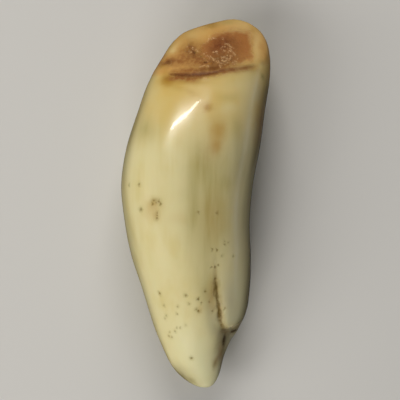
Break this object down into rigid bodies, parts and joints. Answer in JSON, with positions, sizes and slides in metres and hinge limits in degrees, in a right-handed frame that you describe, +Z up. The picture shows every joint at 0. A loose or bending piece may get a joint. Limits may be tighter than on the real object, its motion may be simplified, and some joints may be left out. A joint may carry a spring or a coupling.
{
  "type": "walrus tusk",
  "caption": "Short, stout, polished ivory tusk with a gentle bend, a rounded tip, a grooved lobe on one side and a sloping worn face at its thick end, lying on its side.",
  "frame": {"origin": "on the surface the tusk lies on, under the middle of its bounding box", "axes": "+Y along the tusk, from the rounded tip towards the worn end; +Z up, through its thickness; the bend lies in the plane of X and Y"},
  "size_m": [0.0402, 0.1, 0.028],
  "materials": {
    "ivory": "polished cream ivory, smooth and glossy, with yellow, brown and olive stains and a brown core at the worn end"
  },
  "bodies": {
    "root": {"tusk": "ivory"}
  },
  "joints": []
}
